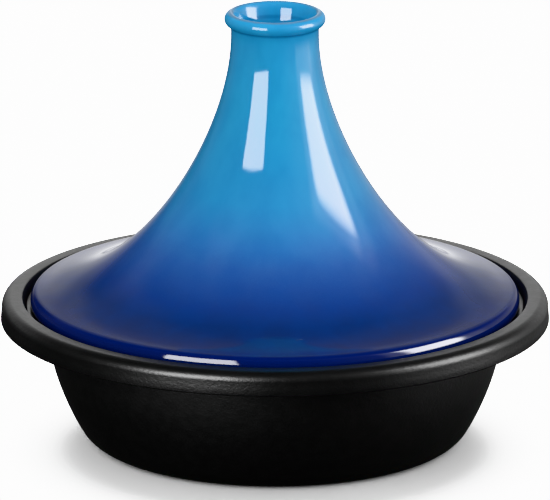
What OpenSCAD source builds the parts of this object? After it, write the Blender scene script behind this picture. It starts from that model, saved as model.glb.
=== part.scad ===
// Tagine pot: a low enamelled cast-iron dish and the tall glazed stoneware cone that covers it.
// Millimetres, +Z up. The origin is on the table, at the centre of the dish's foot.
// Each piece is a wall section turned once round the Z axis.

/* [Dish] */
// Outside diameter across the rim
rim_d = 310; // [250:1:340]
// Height of the rim's top face above the table
dish_h = 82.5; // [70:0.5:110]
// How far the rim stands out past the bowl's side
overhang = 25.2; // [22:0.2:30]
// How far the flat of the foot lies inside the top of the bowl's side
foot_inset = 34; // [26:0.5:42]
// Lean of the bowl's side where it leaves the rim, in degrees
bowl_lean = 4.7; // [1:0.1:12]
// Outside radius between the bowl's side and its bottom
corner_r = 16.5; // [10:0.5:24]
// Thickness of the bowl's side
bowl_wall = 4; // [3:0.5:6]
// Thickness of the bowl's floor
floor_t = 4; // [3:0.5:7]
// Width of the ring that the dish stands on
foot_w = 9.5; // [6:0.5:20]
// Depth of the shallow recess inside that ring
recess_h = 1; // [0.5:0.1:2]

/* [Rim] */
// Width of the rim's top, from its inner edge to its outside
rim_w = 12.5; // [11:0.5:15]
// Height of the rim's outer band
rim_h = 13.4; // [12:0.1:18]
// Radius of the rim's rounded shoulder
shoulder_r = 5.6; // [5:0.1:7]
// How far the band leans outwards from its top to its bottom
band_draft = 0.5; // [0:0.1:1]
// Thickness of the metal in the rim
rim_wall = 5; // [4.2:0.1:5.5]
// Depth of the seat that the lid rests on, below the rim's top face
seat_depth = 5.6; // [5:0.1:6.5]
// How much the step down to the seat leans inwards
step_draft = 2; // [0.5:0.1:3]
// Radius of the rim's small edges
edge_r = 0.8; // [0.4:0.1:1.2]

/* [Lid] */
// Height of the whole pot, lid on
total_h = 248; // [220:1:280]
// Radius of the lip's outer face
lip_face_r = 9.5; // [8:0.5:12]
// Radius of the rounded edge above that face
lip_top_r = 4.2; // [3.8:0.1:4.6]
// Radius of the rounded edge below that face
lip_low_r = 2; // [1.5:0.1:2.5]
// Slope at which the cone runs out into the lip, in degrees
lip_slope = 3.7; // [2:0.1:8]
// How far the curve is drawn out at the lip, as a share of the cone's width
lip_draw = 0.516; // [0.4:0.001:0.6]
// How far the curve is drawn down from the neck, as a share of the cone's height
neck_draw = 0.388; // [0.3:0.001:0.5]
// Outside diameter of the neck
neck_d = 49.6; // [46:0.2:54]
// Height of the straight neck under its ring
neck_h = 4.9; // [3:0.1:8]
// Radius of the ring rolled round the top of the neck
ring_r = 4; // [3.5:0.1:4.5]
// How far the mouth of the neck narrows from the ring's crest to the well
mouth_w = 6.5; // [5:0.1:8]
// Depth over which it narrows
mouth_h = 17.5; // [12:0.5:22]
// Thickness of the cone's wall
cone_wall = 6; // [5:0.2:7]
// Depth of the hollow in the top of the neck
well_depth = 45; // [30:1:60]

/* [Fit] */
// Clearance between the lid's lip and the seat under it
seat_gap = 0.3; // [0.2:0.05:0.5]
// Clearance between the lid's lip and the rim's inner edge
lid_gap = 4.5; // [3:0.1:5]
// Faces in a full turn
turn_faces = 180; // [90:10:240]

/* [Hidden] */
iron_black = [0.08, 0.08, 0.085];
glaze_blue = [0.12, 0.42, 0.74];

// Radii and heights of the dish
rim_rad = rim_d / 2;
bowl_rad = rim_rad - overhang;
foot_rad = bowl_rad - foot_inset;
mouth_rad = rim_rad - rim_w;
seat_rad = mouth_rad - step_draft;
shoulder_rad = rim_rad - band_draft - shoulder_r;
channel_rad = rim_rad - rim_wall;
rim_bottom = dish_h - rim_h;
seat_z = dish_h - seat_depth;
floor_z = recess_h + floor_t;
under_rim_r = 4;
channel_r = shoulder_r - rim_wall + 1;
seat_edge_r = 2;
pot_corner_r = 12;
recess_edge = 2;
step_turn = 70;

// The bowl's side is one arc. It leaves the rim at bowl_rad with the lean given, and its radius is
// the one that runs tangentially into the corner at the foot.
side_dir = [cos(bowl_lean), -sin(bowl_lean)];
to_corner = [foot_rad - bowl_rad, corner_r - rim_bottom];
side_r = (pow(corner_r, 2) - to_corner * to_corner) / (2 * (to_corner * side_dir + corner_r));
side_c = [bowl_rad, rim_bottom] - side_r * side_dir;
in_side_r = side_r - bowl_wall;

// Radii and heights of the lid
neck_rad = neck_d / 2;
ring_inset = 0.3;
ring_rad = neck_rad - ring_inset;
ring_z = total_h - ring_r;
neck_z = ring_z - ring_r - neck_h;
crease_r = 1.2;
well_rad = ring_rad - mouth_w;
well_z = total_h - well_depth;
well_fillet_r = 9;
dome_z = well_z - cone_wall;
mouth_crest_draw = 0.48;
mouth_wall_draw = 0.2;
mouth_steps = 16;

// The lip's outer face is an arc from lip_down below its middle to lip_up above it. The edges over
// and under that face are tangent to it, and the lid rests on the flat between the lower edge and
// the rounding inside it.
lip_up = 26;
lip_down = 6;
lip_bottom = seat_z + seat_gap;
face_c = [mouth_rad - lid_gap - lip_face_r,
          lip_bottom + lip_low_r + (lip_face_r - lip_low_r) * sin(lip_down)];
low_c = face_c + (lip_face_r - lip_low_r) * [cos(lip_down), -sin(lip_down)];
top_c = face_c + (lip_face_r - lip_top_r) * [cos(lip_up), sin(lip_up)];
lip_top = top_c + lip_top_r * [sin(lip_slope), cos(lip_slope)];
lip_flat = 2;
under_r = 3.5;
under_a = -165;
under_c = [low_c[0] - lip_flat, lip_bottom + under_r];

// The outside of the cone is one curve, from the foot of the neck to the top of the lip
flare = [
    [neck_rad, neck_z],
    [neck_rad, neck_z - neck_draw * (neck_z - lip_top[1])],
    lip_top + lip_draw * (lip_top[0] - neck_rad) * [-cos(lip_slope), sin(lip_slope)],
    lip_top
];
flare_steps = 56;

// The hollow under the cone follows that curve from dome_from to hollow_to along it. Above it is a
// dome, level in the middle: dome_flat is that level part's share of the width, and dome_draw is
// the share of its height over which it turns down.
dome_from = 0.36;
hollow_to = 0.94;
dome_flat = 0.75;
dome_draw = 0.6;
dome_steps = 14;

// Furthest that a chord of an arc may lie from the arc
arc_error = 0.015;

// Points round an arc of radius r about c, from angle a0 to angle a1
function arc(c, r, a0, a1) =
    let (n = ceil(abs(a1 - a0) / (2 * acos(1 - arc_error / r))))
    [for (i = [0:n]) c + r * [cos(a0 + (a1 - a0) * i / n), sin(a0 + (a1 - a0) * i / n)]];

// Point at t on the curve with the four control points p
function curve(p, t) =
    pow(1 - t, 3) * p[0] + 3 * pow(1 - t, 2) * t * p[1]
    + 3 * (1 - t) * pow(t, 2) * p[2] + pow(t, 3) * p[3];

// Direction of that curve at t, as a unit vector
function curve_dir(p, t) =
    let (d = pow(1 - t, 2) * (p[1] - p[0]) + 2 * (1 - t) * t * (p[2] - p[1])
             + pow(t, 2) * (p[3] - p[2]))
    d / norm(d);

// Point at t on the line that runs a distance d inside that curve
function inside(p, t, d) =
    let (u = curve_dir(p, t))
    curve(p, t) + d * [u[1], -u[0]];

// Angle about the side's centre at which an arc of radius r reaches the height z
function side_angle(r, z) = asin((z - side_c[1]) / r);

// Point at radius r and angle a about the side's centre
function on_side(r, a) = side_c + r * [cos(a), sin(a)];

// Outside of the bowl: the recess under it, the foot, the corner and the side
function bowl_outside() =
    let (corner_a = side_angle(side_r - corner_r, corner_r),
         top_a = side_angle(side_r + under_rim_r, seat_z - rim_wall - under_rim_r),
         recess_rad = foot_rad - foot_w)
    concat(
        [[0, recess_h], [recess_rad - recess_edge, recess_h], [recess_rad, 0]],
        arc([foot_rad, corner_r], corner_r, -90, corner_a),
        arc(side_c, side_r, corner_a, top_a),
        arc(on_side(side_r + under_rim_r, top_a), under_rim_r, 180 + top_a, 90)
    );

// The rim: the channel under it, the band, the shoulder, the top face and the step to the seat
function rim_outside() =
    concat(
        [[seat_rad, seat_z - rim_wall]],
        arc([channel_rad - channel_r, dish_h - rim_wall - channel_r], channel_r, 90, 0),
        arc([channel_rad + edge_r, rim_bottom + edge_r], edge_r, 180, 270),
        arc([rim_rad - edge_r, rim_bottom + edge_r], edge_r, -90, 0),
        arc([shoulder_rad, dish_h - shoulder_r], shoulder_r, 0, 90),
        arc([mouth_rad + edge_r, dish_h - edge_r], edge_r, 90, 90 + step_turn),
        [[seat_rad, seat_z]]
    );

// Inside of the bowl, from the edge of the seat down to the middle of the floor
function bowl_inside() =
    let (edge_a = side_angle(in_side_r + seat_edge_r, seat_z - seat_edge_r),
         pot_a = side_angle(in_side_r - pot_corner_r, floor_z + pot_corner_r),
         pot_rad = on_side(in_side_r - pot_corner_r, pot_a)[0])
    concat(
        arc(on_side(in_side_r + seat_edge_r, edge_a), seat_edge_r, 90, 180 + edge_a),
        arc(side_c, in_side_r, edge_a, pot_a),
        arc([pot_rad, floor_z + pot_corner_r], pot_corner_r, pot_a, -90),
        [[0, floor_z]]
    );

// Outside of the lid, from under the lip, over the cone and the neck, to the top of the ring
function lid_outside() =
    let (crease_rad = neck_rad + crease_r,
         crease_z = ring_z - sqrt(pow(ring_r + crease_r, 2) - pow(crease_rad - ring_rad, 2)),
         crease_a = atan2(ring_z - crease_z, ring_rad - crease_rad))
    concat(
        arc(under_c, under_r, under_a, -90),
        arc(low_c, lip_low_r, -90, -lip_down),
        arc(face_c, lip_face_r, -lip_down, lip_up),
        arc(top_c, lip_top_r, lip_up, 90 - lip_slope),
        [for (i = [flare_steps - 1:-1:0]) curve(flare, i / flare_steps)],
        arc([crease_rad, crease_z], crease_r, 180, crease_a),
        arc([ring_rad, ring_z], ring_r, crease_a - 180, 90)
    );

// Inside of the lid: the mouth and the well in the neck, then the dome and the hollow under the cone
function lid_inside() =
    let (mouth = [[ring_rad, total_h], [ring_rad - mouth_crest_draw * mouth_w, total_h],
                  [well_rad, total_h - (1 - mouth_wall_draw) * mouth_h],
                  [well_rad, total_h - mouth_h]],
         base = inside(flare, dome_from, cone_wall),
         down = curve_dir(flare, dome_from),
         dome = [[0, dome_z], [base[0] * dome_flat, dome_z],
                 base - (dome_z - base[1]) * dome_draw * down, base])
    concat(
        [for (i = [1:mouth_steps]) curve(mouth, i / mouth_steps)],
        arc([well_rad - well_fillet_r, well_z + well_fillet_r], well_fillet_r, 0, -90),
        [[0, well_z]],
        [for (i = [0:dome_steps]) curve(dome, i / dome_steps)],
        [for (i = [1:flare_steps])
            inside(flare, dome_from + (hollow_to - dome_from) * i / flare_steps, cone_wall)]
    );

// Cast-iron base in black enamel
module dish() {
    color(iron_black)
        rotate_extrude($fn = turn_faces)
            polygon(concat(bowl_outside(), rim_outside(), bowl_inside()));
}

// Stoneware cone in blue glaze
module lid() {
    color(glaze_blue)
        rotate_extrude($fn = turn_faces)
            polygon(concat(lid_outside(), lid_inside()));
}

dish();
lid();
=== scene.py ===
"""Tagine pot: a black enamelled cast-iron dish under a tall stoneware cone with a blue glaze.

Both pieces are round about one axis. Each is a wall section that lathe() carries round Z, with the
materials changing where the finish of the real piece changes. Lengths are millimetres, and metres
on the stage. Angles are degrees until a function or a node needs radians.
"""
import math

import bmesh
import bpy
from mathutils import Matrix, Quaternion, Vector


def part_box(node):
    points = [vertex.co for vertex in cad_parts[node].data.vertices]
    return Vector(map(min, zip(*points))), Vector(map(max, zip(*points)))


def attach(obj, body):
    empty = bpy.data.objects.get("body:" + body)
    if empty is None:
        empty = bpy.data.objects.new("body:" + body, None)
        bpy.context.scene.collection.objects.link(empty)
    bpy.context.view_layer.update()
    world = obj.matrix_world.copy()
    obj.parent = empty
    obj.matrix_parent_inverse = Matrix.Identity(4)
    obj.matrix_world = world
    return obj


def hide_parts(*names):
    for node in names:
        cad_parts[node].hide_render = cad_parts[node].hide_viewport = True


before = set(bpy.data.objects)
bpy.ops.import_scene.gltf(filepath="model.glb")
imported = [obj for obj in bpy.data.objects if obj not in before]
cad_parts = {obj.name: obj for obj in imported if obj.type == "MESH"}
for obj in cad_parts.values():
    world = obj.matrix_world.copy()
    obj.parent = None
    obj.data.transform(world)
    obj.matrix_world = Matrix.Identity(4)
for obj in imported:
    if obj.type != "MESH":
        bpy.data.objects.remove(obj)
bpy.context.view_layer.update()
MM = 0.001

# ---------------------------------------------------------------- sizes

_, dish_hi = (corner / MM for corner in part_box("dish"))
lid_lo, lid_hi = (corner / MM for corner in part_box("lid"))

# Dish: the bowl's side is one arc between the rim and the corner at the foot
RIM_R = dish_hi.x
DISH_H = dish_hi.z
OVERHANG = 25.2
FOOT_INSET = 34
BOWL_R = RIM_R - OVERHANG
FOOT_R = BOWL_R - FOOT_INSET
BOWL_LEAN = 4.7
BOWL_WALL = 4
CORNER_R = 16.5
FOOT_W = 9.5
RECESS_H = 1
RECESS_ROUND = 0.6
RECESS_SLOPE = 27
RECESS_IN = 2
RECESS_OUT = 0.2
FLOOR_Z = 5
POT_CORNER_R = 12

# Rim, and the seat for the lid inside it
RIM_W = 12.5
RIM_H = 13.4
RIM_WALL = 5
SHOULDER_R = 5.6
BAND_DRAFT = 0.5
EDGE_R = 0.8
SEAT_DEPTH = 5.6
STEP_DRAFT = 2
STEP_TURN = 70
SEAT_CORNER_R = 1.2
SEAT_CORNER_IN = 0.7
SEAT_EDGE_R = 2
UNDER_RIM_R = 4
CHANNEL_R = 1.6

# Lid: the cone is one curve from the neck to the lip. A DRAW is the length of a curve's handle, as
# a share of the height or width that the curve spans.
TOP_Z = lid_hi.z
LIP_X = lid_hi.x
LIP_BOTTOM = lid_lo.z
LIP_FACE_R = 9.5
LIP_TOP_R = 4.2
LIP_LOW_R = 2
LIP_UP = 26
LIP_DOWN = 6
LIP_FLAT = 2
LIP_SLOPE = 3.7
LIP_DRAW = 0.516
UNDER_R = 3.5
UNDER_A = -165
NECK_R = 24.8
NECK_H = 4.9
NECK_DRAW = 0.388
RING_R = 4
RING_IN = 0.3
RING_C = Vector((NECK_R - RING_IN, TOP_Z - RING_R))
CREASE_R = 1.2
MOUTH_W = 6.5
MOUTH_H = 17.5
MOUTH_CREST_DRAW = 0.48
MOUTH_WALL_DRAW = 0.2
WELL_DEPTH = 45
WELL_ROUND = 9
CONE_WALL = 6
DOME_FLAT_DRAW = 0.75
DOME_DRAW = 0.6

# Where the hollow starts and ends on the cone's curve, from 0 at the neck to 1 at the lip
DOME_FROM = 0.36
HOLLOW_TO = 0.94

# Fineness of the meshes
TURN = 288
ARC_ERROR = 0.004
CURVE_STEPS = 110
MOUTH_STEPS = 28
DOME_STEPS = 30
LONGEST_EDGE = 4
SHARP_TURN = 32
SAME_POINT = 1e-4
ON_AXIS = 1e-6


# ---------------------------------------------------------------- outlines

def polar(radius, angle):
    """Point at that radius and angle about the origin."""
    return radius * Vector((math.cos(math.radians(angle)), math.sin(math.radians(angle))))


def arc(centre, radius, start, end):
    """Points round an arc, close enough together that no chord leaves it by ARC_ERROR."""
    step = 2 * math.degrees(math.acos(1 - ARC_ERROR / radius))
    count = math.ceil(abs(end - start) / step)
    return [centre + polar(radius, start + (end - start) * i / count) for i in range(count + 1)]


def curve(points, t):
    """Point at t on the cubic curve with those four control points."""
    s = 1 - t
    weights = (s ** 3, 3 * s * s * t, 3 * s * t * t, t ** 3)
    return sum((w * p for w, p in zip(weights, points)), Vector((0, 0)))


def curve_direction(points, t):
    """Direction of that curve at t."""
    s = 1 - t
    legs = [b - a for a, b in zip(points, points[1:])]
    return (s * s * legs[0] + 2 * s * t * legs[1] + t * t * legs[2]).normalized()


def inside(points, t, depth):
    """Point at t on the line that runs that depth inside the curve."""
    along = curve_direction(points, t)
    return curve(points, t) + depth * Vector((along.y, -along.x))


def subdivided(outline):
    """The outline with its long straight stretches cut into shorter ones."""
    points = [outline[0]]
    for end in outline[1:]:
        start = points[-1]
        count = max(1, math.ceil((end - start).length / LONGEST_EDGE))
        points += [start.lerp(end, i / count) for i in range(1, count + 1)]
    return points


class BowlSide:
    """The arc of the bowl's side. It is tangent to the corner at the foot."""

    lean = polar(1, -BOWL_LEAN)
    rim_bottom = DISH_H - RIM_H
    to_corner = Vector((FOOT_R - BOWL_R, CORNER_R - rim_bottom))
    radius = (CORNER_R ** 2 - to_corner.length_squared) / (2 * (to_corner.dot(lean) + CORNER_R))
    centre = Vector((BOWL_R, rim_bottom)) - radius * lean
    inner = radius - BOWL_WALL

    @classmethod
    def angle(cls, radius, z):
        """Angle about the centre at which an arc of that radius reaches the height z."""
        return math.degrees(math.asin((z - cls.centre.y) / radius))

    @classmethod
    def point(cls, radius, angle):
        """Point at that radius and angle about the side's centre."""
        return cls.centre + polar(radius, angle)


def dish_outside():
    """From the middle of the underside, over the foot and up the bowl's side, to under the rim.

    The slope between the recess and the foot's ring ends in two rounds, RECESS_IN inside the ring's
    edge and RECESS_OUT outside it.
    """
    side = BowlSide
    recess = FOOT_R - FOOT_W
    seat_z = DISH_H - SEAT_DEPTH
    corner_a = side.angle(side.radius - CORNER_R, CORNER_R)
    top_a = side.angle(side.radius + UNDER_RIM_R, seat_z - RIM_WALL - UNDER_RIM_R)
    return (
        [Vector((0, RECESS_H))]
        + arc(Vector((recess - RECESS_IN, RECESS_H - RECESS_ROUND)), RECESS_ROUND, 90,
              90 - RECESS_SLOPE)
        + arc(Vector((recess + RECESS_OUT, RECESS_ROUND)), RECESS_ROUND, -90 - RECESS_SLOPE, -90)
        + arc(Vector((FOOT_R, CORNER_R)), CORNER_R, -90, corner_a)
        + arc(side.centre, side.radius, corner_a, top_a)
        + arc(side.point(side.radius + UNDER_RIM_R, top_a), UNDER_RIM_R, 180 + top_a, 90)
    )


def dish_rim():
    """The channel under the rim, the band, the shoulder, the top face and the step to the seat."""
    mouth = RIM_R - RIM_W
    seat = mouth - STEP_DRAFT
    seat_z = DISH_H - SEAT_DEPTH
    channel = RIM_R - RIM_WALL
    bottom = DISH_H - RIM_H
    return (
        [Vector((seat, seat_z - RIM_WALL))]
        + arc(Vector((channel - CHANNEL_R, DISH_H - RIM_WALL - CHANNEL_R)), CHANNEL_R, 90, 0)
        + arc(Vector((channel + EDGE_R, bottom + EDGE_R)), EDGE_R, 180, 270)
        + arc(Vector((RIM_R - EDGE_R, bottom + EDGE_R)), EDGE_R, -90, 0)
        + arc(Vector((RIM_R - BAND_DRAFT - SHOULDER_R, DISH_H - SHOULDER_R)), SHOULDER_R, 0, 90)
        + arc(Vector((mouth + EDGE_R, DISH_H - EDGE_R)), EDGE_R, 90, 90 + STEP_TURN)
        + arc(Vector((seat - SEAT_CORNER_R * SEAT_CORNER_IN, seat_z + SEAT_CORNER_R)), SEAT_CORNER_R,
              STEP_TURN - 90, -90)
    )


def dish_inside():
    """From the edge of the seat, down the inside of the bowl, to the middle of its floor."""
    side = BowlSide
    edge_a = side.angle(side.inner + SEAT_EDGE_R, DISH_H - SEAT_DEPTH - SEAT_EDGE_R)
    pot_a = side.angle(side.inner - POT_CORNER_R, FLOOR_Z + POT_CORNER_R)
    pot = side.point(side.inner - POT_CORNER_R, pot_a)
    return (
        arc(side.point(side.inner + SEAT_EDGE_R, edge_a), SEAT_EDGE_R, 90, 180 + edge_a)
        + arc(side.centre, side.inner, edge_a, pot_a)
        + arc(pot, POT_CORNER_R, pot_a, -90)
        + [Vector((0, FLOOR_Z))]
    )


LIP_FACE = Vector((
    LIP_X - LIP_FACE_R,
    LIP_BOTTOM + LIP_LOW_R + (LIP_FACE_R - LIP_LOW_R) * math.sin(math.radians(LIP_DOWN)),
))
LIP_LOW = LIP_FACE + polar(LIP_FACE_R - LIP_LOW_R, -LIP_DOWN)
LIP_ROUND = LIP_FACE + polar(LIP_FACE_R - LIP_TOP_R, LIP_UP)
LIP_TOP = LIP_ROUND + polar(LIP_TOP_R, 90 - LIP_SLOPE)
NECK_Z = RING_C.y - RING_R - NECK_H
WELL_R = RING_C.x - MOUTH_W
FLARE = (
    Vector((NECK_R, NECK_Z)),
    Vector((NECK_R, NECK_Z - NECK_DRAW * (NECK_Z - LIP_TOP.y))),
    LIP_TOP + LIP_DRAW * (LIP_TOP.x - NECK_R) * polar(1, 180 - LIP_SLOPE),
    LIP_TOP,
)


def lid_outside():
    """From under the lip, over the cone, the neck and its ring, to the middle of the well."""
    crease_x = NECK_R + CREASE_R
    reach = RING_R + CREASE_R
    crease = Vector((crease_x, RING_C.y - math.sqrt(reach ** 2 - (crease_x - RING_C.x) ** 2)))
    to_ring = RING_C - crease
    crease_a = math.degrees(math.atan2(to_ring.y, to_ring.x))
    well_z = TOP_Z - WELL_DEPTH
    mouth = (
        Vector((RING_C.x, TOP_Z)),
        Vector((RING_C.x - MOUTH_CREST_DRAW * MOUTH_W, TOP_Z)),
        Vector((WELL_R, TOP_Z - (1 - MOUTH_WALL_DRAW) * MOUTH_H)),
        Vector((WELL_R, TOP_Z - MOUTH_H)),
    )
    return (
        arc(LIP_LOW, LIP_LOW_R, -90, -LIP_DOWN)
        + arc(LIP_FACE, LIP_FACE_R, -LIP_DOWN, LIP_UP)
        + arc(LIP_ROUND, LIP_TOP_R, LIP_UP, 90 - LIP_SLOPE)
        + [curve(FLARE, i / CURVE_STEPS) for i in reversed(range(CURVE_STEPS))]
        + arc(crease, CREASE_R, 180, crease_a)
        + arc(RING_C, RING_R, crease_a - 180, 90)
        + [curve(mouth, i / MOUTH_STEPS) for i in range(1, MOUTH_STEPS + 1)]
        + arc(Vector((WELL_R - WELL_ROUND, well_z + WELL_ROUND)), WELL_ROUND, 0, -90)
        + [Vector((0, well_z))]
    )


def lid_inside():
    """From the top of the dome, down the hollow under the cone, to under the lip."""
    top = TOP_Z - WELL_DEPTH - CONE_WALL
    base = inside(FLARE, DOME_FROM, CONE_WALL)
    along = curve_direction(FLARE, DOME_FROM)
    dome = (
        Vector((0, top)),
        Vector((base.x * DOME_FLAT_DRAW, top)),
        base - (top - base.y) * DOME_DRAW * along,
        base,
    )
    span = HOLLOW_TO - DOME_FROM
    steps = range(1, CURVE_STEPS + 1)
    return (
        [curve(dome, i / DOME_STEPS) for i in range(DOME_STEPS + 1)]
        + [inside(FLARE, DOME_FROM + span * i / CURVE_STEPS, CONE_WALL) for i in steps]
        + arc(Vector((LIP_LOW.x - LIP_FLAT, LIP_BOTTOM + UNDER_R)), UNDER_R, UNDER_A, -90)
    )


# ---------------------------------------------------------------- meshes

def lathe(name, sections, wobble=None):
    """Carries the sections, joined end to end, round Z as one closed mesh.

    sections holds (outline, material) pairs, and wobble moves a point a little, so that the piece
    isn't perfectly round. The faces between two rings have the material of the second one. Ring
    edges stay sharp where the outline turns by more than SHARP_TURN.
    """
    path, slots = [], []
    for slot, (outline, _) in enumerate(sections):
        for point in subdivided(outline):
            if not path or (point - path[-1]).length > SAME_POINT:
                path.append(point)
                slots.append(slot)
    mesh = bmesh.new()
    rings = []
    for point in path:
        if point.x < ON_AXIS:
            rings.append([mesh.verts.new((0, 0, point.y * MM))])
            continue
        ring = []
        for i in range(TURN):
            angle = 2 * math.pi * i / TURN
            r, z = wobble(point, angle) if wobble else point
            place = Vector((r * math.cos(angle), r * math.sin(angle), z))
            ring.append(mesh.verts.new(place * MM))
        rings.append(ring)
    closed = len(rings[0]) > 1
    pairs = list(zip(rings, rings[1:])) + ([(rings[-1], rings[0])] if closed else [])
    for (low, high), slot in zip(pairs, slots[1:] + slots[:1]):
        if len(low) == len(high) == 1:
            continue
        for i in range(TURN):
            j = (i + 1) % TURN
            corners = [low[i % len(low)], low[j % len(low)], high[j % len(high)], high[i % len(high)]]
            face = mesh.faces.new(list(dict.fromkeys(corners)))
            face.material_index = slot
            face.smooth = True
    bmesh.ops.recalc_face_normals(mesh, faces=mesh.faces)
    mark_sharp(mesh, path, rings)
    data = bpy.data.meshes.new(name)
    mesh.to_mesh(data)
    mesh.free()
    for _, material in sections:
        data.materials.append(material)
    piece = bpy.data.objects.new(name, data)
    bpy.context.scene.collection.objects.link(piece)
    return piece


def mark_sharp(mesh, path, rings):
    """Keeps the ring edges hard where the outline has a real corner."""
    for before, here, after, ring in zip(path, path[1:], path[2:], rings[1:]):
        turn = math.degrees((here - before).angle(after - here))
        if turn > SHARP_TURN and len(ring) > 1:
            own = set(ring)
            for vert in ring:
                for edge in vert.link_edges:
                    if edge.other_vert(vert) in own:
                        edge.smooth = False


OVAL = 0.10
THREE_LOBED = 0.05
WARP = 0.04


def hand_thrown(point, angle):
    """The lid is slightly out of round, as a thrown and fired piece is, and most so at the lip."""
    sway = OVAL * math.cos(2 * angle + 0.6) + THREE_LOBED * math.cos(3 * angle + 2.1)
    lift = WARP * math.cos(2 * angle + 1.1)
    share = min(1, point.x / LIP_X)
    return point.x + sway * share, point.y + lift * share


# ---------------------------------------------------------------- node helpers

def new_material(name):
    """An empty node material with one Principled shader in it."""
    material = bpy.data.materials.new(name)
    material.use_nodes = True
    tree = material.node_tree
    tree.nodes.clear()
    shader = tree.nodes.new("ShaderNodeBsdfPrincipled")
    output = tree.nodes.new("ShaderNodeOutputMaterial")
    tree.links.new(shader.outputs[0], output.inputs[0])
    return material, tree, shader


def add(tree, kind, inputs=None, **settings):
    """Adds a node. inputs maps a socket to a value or to another node's output."""
    made = tree.nodes.new(kind)
    for name, value in settings.items():
        setattr(made, name, value)
    for key, value in (inputs or {}).items():
        if isinstance(value, bpy.types.NodeSocket):
            tree.links.new(value, made.inputs[key])
        else:
            made.inputs[key].default_value = value
    return made


def calc(tree, operation, *values):
    """One Math node."""
    return add(tree, "ShaderNodeMath", dict(enumerate(values)), operation=operation).outputs[0]


def fade(tree, value, start, end, low=0.0, high=1.0):
    """A smooth step from low to high as the value runs from start to end."""
    inputs = {"Value": value, 1: start, 2: end, 3: low, 4: high}
    return add(tree, "ShaderNodeMapRange", inputs, interpolation_type="SMOOTHSTEP").outputs[0]


def mixed(tree, factor, first, second):
    """One colour mixed with another."""
    inputs = {0: factor, 6: first, 7: second}
    return add(tree, "ShaderNodeMix", inputs, data_type="RGBA").outputs[2]


def grey(level):
    """A grey of that level, as a colour with alpha."""
    return level, level, level, 1


def noise(tree, where, size, detail=2.0):
    """Noise with features of that size in millimetres, from 0 to 1."""
    inputs = {"Vector": where, "Scale": 1 / (size * MM), "Detail": detail}
    return add(tree, "ShaderNodeTexNoise", inputs).outputs[0]


def around(tree, value, spread):
    """A 0-to-1 value turned into one from -spread to spread."""
    return calc(tree, "MULTIPLY_ADD", value, 2 * spread, -spread)


def object_place(tree):
    """Where a point is on the object: its coordinates, its height and its distance from the axis."""
    where = add(tree, "ShaderNodeTexCoord").outputs["Object"]
    x, y, z = add(tree, "ShaderNodeSeparateXYZ", {0: where}).outputs
    radius = calc(tree, "SQRT", calc(tree, "MULTIPLY_ADD", x, x, calc(tree, "MULTIPLY", y, y)))
    return where, z, radius


def stretched(tree, where, scale):
    """The coordinates scaled along each axis, to draw a pattern out."""
    return add(tree, "ShaderNodeMapping", {"Vector": where, "Scale": scale}).outputs[0]


def relief(tree, shader, *layers):
    """Bump from (height, depth in millimetres) layers."""
    total = 0.0
    for height, depth in layers:
        total = calc(tree, "MULTIPLY_ADD", height, depth, total)
    bump = add(tree, "ShaderNodeBump", {"Height": total, "Distance": MM, "Strength": 1.0})
    tree.links.new(bump.outputs[0], shader.inputs["Normal"])
    tree.links.new(bump.outputs[0], shader.inputs["Coat Normal"])


def connect(tree, shader, **values):
    """Gives the shader's sockets a value or another node's output. Underscores stand for spaces."""
    for name, value in values.items():
        socket = shader.inputs[name.replace("_", " ")]
        if isinstance(value, bpy.types.NodeSocket):
            tree.links.new(value, socket)
        else:
            socket.default_value = value


# ---------------------------------------------------------------- materials

# The blue glaze by height on the lid: greyish violet inside the lip, partly a painted sheen there,
# azure from the middle upwards
GLAZE_AND_SHEEN_BY_HEIGHT = (
    (87, (0.033, 0.042, 0.118)),
    (89, (0.022, 0.038, 0.124)),
    (94, (0.016, 0.037, 0.146)),
    (101, (0.027, 0.057, 0.219)),
    (109, (0.038, 0.087, 0.296)),
    (118, (0.052, 0.130, 0.382)),
    (128, (0.058, 0.195, 0.487)),
    (138, (0.053, 0.242, 0.536)),
    (150, (0.048, 0.289, 0.580)),
    (175, (0.049, 0.320, 0.612)),
    (200, (0.053, 0.366, 0.660)),
    (236, (0.056, 0.382, 0.705)),
)
RAMP_LOW = 80
RAMP_HIGH = 252

LIP_COBALT = (0.0008, 0.009, 0.105, 1)
CLOUD_BLUE = (0.0, 0.05, 0.30, 1)
THIN_GLAZE = (0.16, 0.20, 0.26, 1)
POOLED_GLAZE_AND_SHADE = (0.006, 0.11, 0.34, 1)
WELL_SHADE_BLUE = (0.004, 0.06, 0.21, 1)
CLAY = (0.52, 0.40, 0.27, 1)
CLAY_GRAIN = (0.27, 0.18, 0.11, 1)
CREAM = (0.72, 0.66, 0.54, 1)
DARK_CREAM = (0.62, 0.54, 0.41, 1)
IRON_SPECK = (0.20, 0.12, 0.07, 1)
RUBBED_FOOT = (0.09, 0.088, 0.085, 1)
PAINTED_EDGE_HIGHLIGHT = (0.07, 0.07, 0.07, 1)
CLAY_ROUGHNESS = 0.9


def clay_mask(tree, where, height):
    """1 on the bare clay under the lip, where the glaze was wiped off in a slightly uneven line."""
    line = calc(tree, "ADD", height, around(tree, noise(tree, where, 9), 0.5 * MM))
    return fade(tree, line, (LIP_BOTTOM + 1.3) * MM, (LIP_BOTTOM + 0.9) * MM)


def clay_colour(tree, where):
    """Buff stoneware with darker grains."""
    grain = fade(tree, noise(tree, where, 0.6, 3.0), 0.55, 0.72)
    return mixed(tree, grain, CLAY, CLAY_GRAIN)


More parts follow.
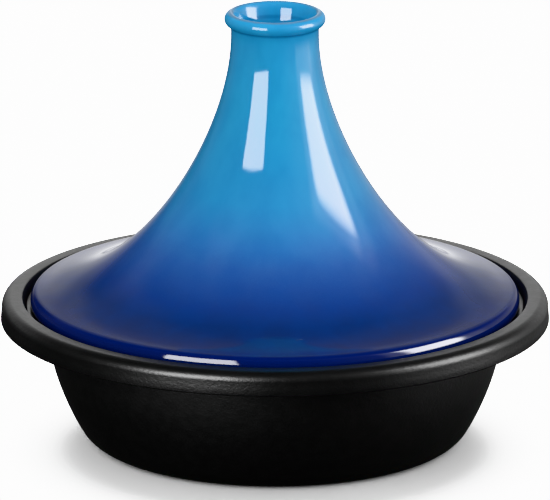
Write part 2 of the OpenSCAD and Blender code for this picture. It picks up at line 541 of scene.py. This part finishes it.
def glaze_and_sheen_ramp(tree, height):
    """The glaze's colour from a height in metres, with a painted sheen just inside the lip."""
    share = add(tree, "ShaderNodeMapRange", {0: height, 1: RAMP_LOW * MM, 2: RAMP_HIGH * MM})
    ramp = add(tree, "ShaderNodeValToRGB", {0: share.outputs[0]})
    stops = ramp.color_ramp.elements
    while len(stops) < len(GLAZE_AND_SHEEN_BY_HEIGHT):
        stops.new(0.5)
    for stop, (level, colour) in zip(stops, GLAZE_AND_SHEEN_BY_HEIGHT):
        stop.position = (level - RAMP_LOW) / (RAMP_HIGH - RAMP_LOW)
        stop.color = (*colour, 1)
    return ramp.outputs[0]


def blue_glaze():
    """Glossy glaze over stoneware, sprayed so that cobalt runs softly into azure."""
    material, tree, shader = new_material("blue_glaze")
    where, height, radius = object_place(tree)
    broad = around(tree, noise(tree, where, 42, 2.0), 3.5 * MM)
    spray = around(tree, noise(tree, where, 0.7, 3.0), 2.5 * MM)
    drift = calc(tree, "MULTIPLY", calc(tree, "ADD", broad, spray),
                 fade(tree, height, 88 * MM, 112 * MM, 0.1, 1.0))
    # The ramp's greyish violet just inside the lip is partly painted sheen
    colour = glaze_and_sheen_ramp(tree, calc(tree, "ADD", height, drift))
    cloud = noise(tree, stretched(tree, where, (1, 1, 0.45)), 16, 3.0)
    colour = mixed(tree, fade(tree, cloud, 0.30, 0.75, 0.0, 0.16), colour, CLOUD_BLUE)
    lip = fade(tree, height, (LIP_TOP.y - 0.1) * MM, (LIP_TOP.y - 1.0) * MM)
    colour = mixed(tree, lip, colour, LIP_COBALT)
    uneven = calc(tree, "ADD", height, around(tree, noise(tree, where, 5), 0.3 * MM))
    thin = fade(tree, uneven, (TOP_Z - 0.9) * MM, TOP_Z * MM, 0.0, 0.55)
    colour = mixed(tree, thin, colour, THIN_GLAZE)
    # Darker blue along the crease under the ring: partly glaze pooled there, partly painted shade in
    # the crease
    from_crease = calc(tree, "ABSOLUTE", calc(tree, "SUBTRACT", height, (NECK_Z + NECK_H) * MM))
    pool_and_shade = fade(tree, from_crease, 1.6 * MM, 0.3 * MM, 0.0, 0.40)
    colour = mixed(tree, pool_and_shade, colour, POOLED_GLAZE_AND_SHADE)
    # Painted shade: the glaze is darkened down inside the well, where shade falls
    in_well = fade(tree, radius, (WELL_R + 4) * MM, (WELL_R + 1) * MM)
    well_shade = calc(tree, "MULTIPLY", in_well, fade(tree, height, (TOP_Z - 8) * MM, (TOP_Z - 42) * MM))
    colour = mixed(tree, calc(tree, "MULTIPLY", well_shade, 0.7), colour, WELL_SHADE_BLUE)
    bare = clay_mask(tree, where, height)
    colour = mixed(tree, bare, colour, clay_colour(tree, where))
    gloss = fade(tree, noise(tree, where, 11, 3.0), 0.3, 0.7, 0.035, 0.065)
    connect(
        tree, shader,
        Base_Color=colour,
        Roughness=calc(tree, "MAXIMUM", gloss, calc(tree, "MULTIPLY", bare, CLAY_ROUGHNESS)),
        IOR=1.52,
    )
    relief(
        tree, shader,
        (noise(tree, where, 26, 1.0), 0.07),
        (noise(tree, where, 1.4, 1.0), 0.0035),
    )
    return material


def cream_glaze():
    """Plain glaze inside the lid, with a few iron specks, and bare clay under the lip."""
    material, tree, shader = new_material("cream_glaze")
    where, height, _ = object_place(tree)
    cloud = fade(tree, noise(tree, where, 18, 3.0), 0.35, 0.70)
    colour = mixed(tree, cloud, CREAM, DARK_CREAM)
    specks = fade(tree, noise(tree, where, 1.6, 2.0), 0.70, 0.76, 0.0, 0.8)
    colour = mixed(tree, specks, colour, IRON_SPECK)
    bare = clay_mask(tree, where, height)
    colour = mixed(tree, bare, colour, clay_colour(tree, where))
    gloss = fade(tree, noise(tree, where, 8, 3.0), 0.3, 0.7, 0.14, 0.26)
    connect(
        tree, shader,
        Base_Color=colour,
        Roughness=calc(tree, "MAXIMUM", gloss, calc(tree, "MULTIPLY", bare, CLAY_ROUGHNESS)),
        IOR=1.5,
    )
    relief(
        tree, shader,
        (noise(tree, where, 20, 1.0), 0.08),
        (noise(tree, where, 1.2, 2.0), 0.006),
    )
    return material


def black_enamel(name, tone_and_shade, pebble, roughness, sheen, gloss):
    """Satin black enamel over cast iron: a pebbled skin, paler where the foot is rubbed, and a
    painted highlight along the rim's lower edge.

    The first number is the grey of the enamel, set darker on the side as painted shade and lighter on
    the rim as painted light; pebble scales its relief, roughness is the body's and sheen the coat's,
    and gloss is how strongly both of them mirror.
    """
    material, tree, shader = new_material(name)
    where, height, radius = object_place(tree)
    coarse = noise(tree, where, 2.0, 2.0)
    fine = noise(tree, where, 0.9, 2.0)
    cloud = fade(tree, noise(tree, where, 24, 3.0), 0.3, 0.7)
    colour = mixed(tree, cloud, grey(tone_and_shade * 0.9), grey(tone_and_shade * 1.1))
    foot = fade(tree, height, 0.5 * MM, 0.1 * MM, 0.0, 0.8)
    rubbed = fade(tree, noise(tree, where, 2.2, 4.0), 0.42, 0.62, 0.0, foot)
    colour = mixed(tree, rubbed, colour, RUBBED_FOOT)
    # Painted highlight: a thin, patchy paler line along the rim's lower edge, where its bevel would
    # mirror light
    low = DISH_H - RIM_H
    edge = calc(tree, "MULTIPLY", fade(tree, radius, (RIM_R - 1.6) * MM, (RIM_R - 0.8) * MM),
                fade(tree, height, (low + 1.1) * MM, (low + 0.3) * MM))
    patchy_highlight = fade(tree, noise(tree, where, 3, 4.0), 0.25, 0.60, 0.2, 0.8)
    colour = mixed(tree, calc(tree, "MULTIPLY", edge, patchy_highlight), colour, PAINTED_EDGE_HIGHLIGHT)
    uneven = fade(tree, noise(tree, where, 6, 4.0), 0.3, 0.7, roughness - 0.02, roughness + 0.02)
    connect(tree, shader, Base_Color=colour, Roughness=uneven, IOR=1.5,
            Specular_IOR_Level=0.75 * gloss, Coat_Weight=gloss, Coat_Roughness=sheen,
            Coat_IOR=1.5)
    relief(tree, shader, (coarse, 0.08 * pebble), (fine, 0.06 * pebble))
    return material


# ---------------------------------------------------------------- pieces

# The same enamel is given a darker grey on the side, as painted shade, and a lighter one on the rim,
# as painted light
dish = lathe("cast_iron_dish", (
    (dish_outside(), black_enamel("black_enamel_side_painted_shade", 0.011, 1.0, 0.48, 0.38, 0.85)),
    (dish_rim(), black_enamel("black_enamel_rim_painted_light", 0.025, 1.0, 0.44, 0.25, 0.34)),
    (dish_inside(), black_enamel("black_enamel_inside", 0.016, 0.5, 0.40, 0.30, 0.50)),
))
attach(dish, "dish")
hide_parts("dish")

lid = lathe("stoneware_lid", (
    (lid_outside(), blue_glaze()),
    (lid_inside(), cream_glaze()),
), hand_thrown)
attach(lid, "lid")
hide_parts("lid")


# ---------------------------------------------------------------- stage

# Where the camera looks, and where the lamps do
AIM = Vector((0, 0, 0.109))
CONE_AIM = Vector((0, 0, 0.19))

# The floor glows, a painted light: its emission is nil near a point just behind the axis, which
# paints a shadow round the pot, and grows to full white further out
WHITE = 2.8
WHITE_FLOOR = 0.9
FLOOR_RADIUS = 60
PAINTED_SHADOW_SHIFT = 0.03
PAINTED_SHADOW_TO = 0.10
PAINTED_GLOW_FROM = 0.16
FLOOR_PANELS = 6
FLOOR_RADIANCE = 1.2

# Softboxes: azimuth, elevation, width and height in degrees as the cone sees them, and distance
LEFT_BOX = (-33.5, 18.3, 39, 37.5, 5)
RIGHT_BOX = (79.5, 18.5, 39, 41, 1.6)
BACK_GLOW = (188, 16, 100, 28, 1.6)
LEFT_FILL = (-45, 14, 60, 50, 1.6)
RIGHT_FILL = (60, 14, 60, 50, 1.6)
TOP_FILL = (0, 88, 80, 80, 1.6)
FLOOR_TOP = (0, 90, 80, 80, 2.5)
RIGHT_BOX_ROLL = -3

# How strongly the left and the right box light each piece
LID_BOXES = (14, 18)
DISH_BOXES = (22, 14)


def direction(azimuth, elevation):
    """Unit vector from the pot. Azimuth 0 points at the camera's side and 90 to the right of it."""
    a, e = math.radians(azimuth), math.radians(elevation)
    return Vector((math.sin(a) * math.cos(e), -math.cos(a) * math.cos(e), math.sin(e)))


def only_lights(lamp, *pieces):
    """The lamp lights these objects and no others."""
    group = bpy.data.collections.new(f"lit_by_{lamp.name}")
    for piece in pieces:
        group.objects.link(piece)
    lamp.light_linking.receiver_collection = group


def softbox(name, place, radiance, roll=0.0):
    """A flat diffuser that faces the cone, of that radiance. A roll raises its right end."""
    azimuth, elevation, wide, high, distance = place
    data = bpy.data.lights.new(name, "AREA")
    data.shape = "RECTANGLE"
    data.size = 2 * distance * math.tan(math.radians(wide / 2))
    data.size_y = 2 * distance * math.tan(math.radians(high / 2))
    data.energy = radiance * math.pi * data.size * data.size_y
    lamp = bpy.data.objects.new(name, data)
    towards = direction(azimuth, elevation)
    lamp.location = CONE_AIM + distance * towards
    lamp.rotation_mode = "QUATERNION"
    turned = Quaternion(towards, math.radians(roll))
    lamp.rotation_quaternion = turned @ towards.to_track_quat("Z", "Y")
    lamp.visible_camera = False
    bpy.context.scene.collection.objects.link(lamp)
    return lamp


def soften(lamp, edge, top_falls=0.0, side_leans=0.0):
    """Fades the diffuser out towards its edges, over that share of its size.

    Its top edge falls towards the left by the share top_falls of its height, and its right edge
    leans in towards the top by the share side_leans of its width.
    """
    lamp.data.use_nodes = True
    tree = lamp.data.node_tree
    tree.nodes.clear()
    across = add(tree, "ShaderNodeNewGeometry").outputs["Parametric"]
    u, v, _ = add(tree, "ShaderNodeSeparateXYZ", {0: across}).outputs
    from_right = calc(tree, "SUBTRACT", 1.0, u)
    from_top = calc(tree, "SUBTRACT", 1.0, v)
    within = (
        u,
        v,
        calc(tree, "SUBTRACT", from_right, calc(tree, "MULTIPLY", v, side_leans)),
        calc(tree, "SUBTRACT", from_top, calc(tree, "MULTIPLY", from_right, top_falls)),
    )
    strength = 1.0
    for margin in within:
        strength = calc(tree, "MULTIPLY", strength, fade(tree, margin, 0.0, edge))
    glow = add(tree, "ShaderNodeEmission", {"Strength": strength})
    output = add(tree, "ShaderNodeOutputLight")
    tree.links.new(glow.outputs[0], output.inputs[0])


def light_pot():
    """Two softboxes for the pot to mirror, and wider ones that only bring out its colours."""
    for piece, (on_left, on_right) in ((lid, LID_BOXES), (dish, DISH_BOXES)):
        left = softbox(f"left_box_for_{piece.name}", LEFT_BOX, on_left)
        right = softbox(f"right_box_for_{piece.name}", RIGHT_BOX, on_right, RIGHT_BOX_ROLL)
        soften(left, 0.05, top_falls=0.13, side_leans=0.20)
        soften(right, 0.2)
        for box in (left, right):
            box.visible_diffuse = False
            only_lights(box, piece)
    glow = softbox("back_glow", BACK_GLOW, 0.5)
    glow.visible_diffuse = False
    only_lights(glow, dish)
    fills = (
        (softbox("left_fill", LEFT_FILL, 1.6), (lid,)),
        (softbox("right_fill", RIGHT_FILL, 2.3), (lid,)),
        (softbox("top_fill", TOP_FILL, 1.2), (dish, lid)),
    )
    for fill, pieces in fills:
        fill.visible_glossy = False
        only_lights(fill, *pieces)


def light_floor():
    """A dome of panels over the floor, so that the pot's shadow is soft and gathers at its foot."""
    panels = [softbox("floor_top", FLOOR_TOP, FLOOR_RADIANCE)]
    for azimuth in range(0, 360, 360 // FLOOR_PANELS):
        place = (azimuth, 25, 60, 50, 2.5)
        panels.append(softbox(f"floor_panel_{azimuth}", place, FLOOR_RADIANCE))
    for panel in panels:
        only_lights(panel, floor)


def make_floor():
    """A wide white disc, seen from above only, so that it never hides the pot's underside.

    Its emission is a painted glow that grows away from the pot, which paints a soft shadow round it.
    """
    material, tree, shader = new_material("white_floor")
    where = object_place(tree)[0]
    tint = fade(tree, noise(tree, where, 90), 0.3, 0.7)
    shade = mixed(tree, tint, grey(WHITE_FLOOR), grey(WHITE_FLOOR * 0.99))
    # Painted shadow and painted glow: the emission is nil close to the pot and rises to WHITE further
    # out
    moved = add(tree, "ShaderNodeMapping", {"Vector": where, "Location": (0, PAINTED_SHADOW_SHIFT, 0)})
    away = add(tree, "ShaderNodeVectorMath", {0: moved.outputs[0]}, operation="LENGTH")
    rise = fade(tree, away.outputs["Value"], PAINTED_SHADOW_TO, PAINTED_GLOW_FROM)
    painted_glow = calc(tree, "MULTIPLY", calc(tree, "MULTIPLY", rise, rise), WHITE)
    connect(tree, shader, Base_Color=shade, Roughness=1.0, Specular_IOR_Level=0.0,
            Emission_Color=(1, 1, 1, 1), Emission_Strength=painted_glow)
    clear = add(tree, "ShaderNodeBsdfTransparent")
    under = add(tree, "ShaderNodeNewGeometry").outputs["Backfacing"]
    sided = add(tree, "ShaderNodeMixShader", {0: under, 1: shader.outputs[0], 2: clear.outputs[0]})
    output = next(node for node in tree.nodes if node.type == "OUTPUT_MATERIAL")
    tree.links.new(sided.outputs[0], output.inputs[0])
    mesh = bmesh.new()
    bmesh.ops.create_circle(mesh, cap_ends=True, segments=128, radius=FLOOR_RADIUS)
    data = bpy.data.meshes.new("floor")
    mesh.to_mesh(data)
    mesh.free()
    data.materials.append(material)
    made = bpy.data.objects.new("floor", data)
    made.visible_glossy = False
    made.visible_diffuse = False
    bpy.context.scene.collection.objects.link(made)
    return made


# What the pot mirrors besides the softboxes: azimuth, elevation, half width, half height, softness
# and radiance of each pale patch of the studio, in degrees
STUDIO = (
    (180, 2, 5, 12, 8, 1.20),
    (180, 3, 12, 15, 8, 0.30),
    (178, 8, 22, 20, 10, 0.30),
    (180, 40, 45, 14, 14, 0.22),
    (78, 15, 24, 29, 8, 1.50),
    (75, 15, 45, 35, 50, 0.60),
    (104, 16, 10, 28, 10, 0.55),
    (118, 2, 42, 20, 24, 0.55),
    (-95, 8, 45, 28, 20, 0.20),
    (0, 48, 85, 10, 12, 0.28),
)
STUDIO_DARK = 0.11
AMBIENT = 0.35

# From TABLE_FROM down to TABLE_TO the studio dims to TABLE_SHARE, as where a table lies
TABLE_FROM = -12
TABLE_TO = -18
TABLE_SHARE = 0.3


def make_world():
    """White for the camera, dim grey for diffuse light, and the studio for what the pot mirrors."""
    world = bpy.data.worlds.new("studio")
    world.use_nodes = True
    tree = world.node_tree
    tree.nodes.clear()
    towards = add(tree, "ShaderNodeTexCoord").outputs["Generated"]
    x, y, z = add(tree, "ShaderNodeSeparateXYZ", {0: towards}).outputs
    azimuth = calc(tree, "ARCTAN2", x, calc(tree, "MULTIPLY", y, -1.0))
    elevation = calc(tree, "ARCSINE", z)
    glow = STUDIO_DARK
    for middle, level, half_wide, half_high, soft, radiance in STUDIO:
        turn = calc(tree, "SUBTRACT", azimuth, math.radians(middle))
        turn = calc(tree, "ABSOLUTE", calc(tree, "WRAP", turn, math.pi, -math.pi))
        rise = calc(tree, "ABSOLUTE", calc(tree, "SUBTRACT", elevation, math.radians(level)))
        wide, high, edge = (math.radians(size) for size in (half_wide, half_high, soft / 2))
        patch = calc(tree, "MULTIPLY", fade(tree, turn, wide + edge, wide - edge),
                     fade(tree, rise, high + edge, high - edge))
        glow = calc(tree, "MULTIPLY_ADD", patch, radiance, glow)
    table = fade(tree, elevation, math.radians(TABLE_TO), math.radians(TABLE_FROM), TABLE_SHARE, 1.0)
    glow = calc(tree, "MULTIPLY", glow, table)
    path = add(tree, "ShaderNodeLightPath").outputs
    mirrored = calc(tree, "MULTIPLY", glow, path["Is Glossy Ray"])
    lighting = calc(tree, "MULTIPLY", path["Is Diffuse Ray"], AMBIENT)
    seen = calc(tree, "MULTIPLY", path["Is Camera Ray"], WHITE)
    strength = calc(tree, "ADD", calc(tree, "ADD", mirrored, lighting), seen)
    background = add(tree, "ShaderNodeBackground", {"Strength": strength})
    output = add(tree, "ShaderNodeOutputWorld")
    tree.links.new(background.outputs[0], output.inputs[0])
    bpy.context.scene.world = world


CAMERA_DISTANCE = 6.28
CAMERA_ELEVATION = 16.04
LENS = 728.6
SENSOR = 36


def make_camera():
    """A long lens a little above the pot, aimed at its axis."""
    data = bpy.data.cameras.new("camera")
    data.lens = LENS
    data.sensor_width = SENSOR
    data.clip_end = 200
    camera = bpy.data.objects.new("camera", data)
    back = direction(0, CAMERA_ELEVATION)
    camera.location = AIM + CAMERA_DISTANCE * back
    camera.rotation_mode = "QUATERNION"
    camera.rotation_quaternion = back.to_track_quat("Z", "Y")
    bpy.context.scene.collection.objects.link(camera)
    bpy.context.scene.camera = camera


floor = make_floor()
light_pot()
light_floor()
make_world()
make_camera()
bpy.context.scene.view_settings.view_transform = "Khronos PBR Neutral"
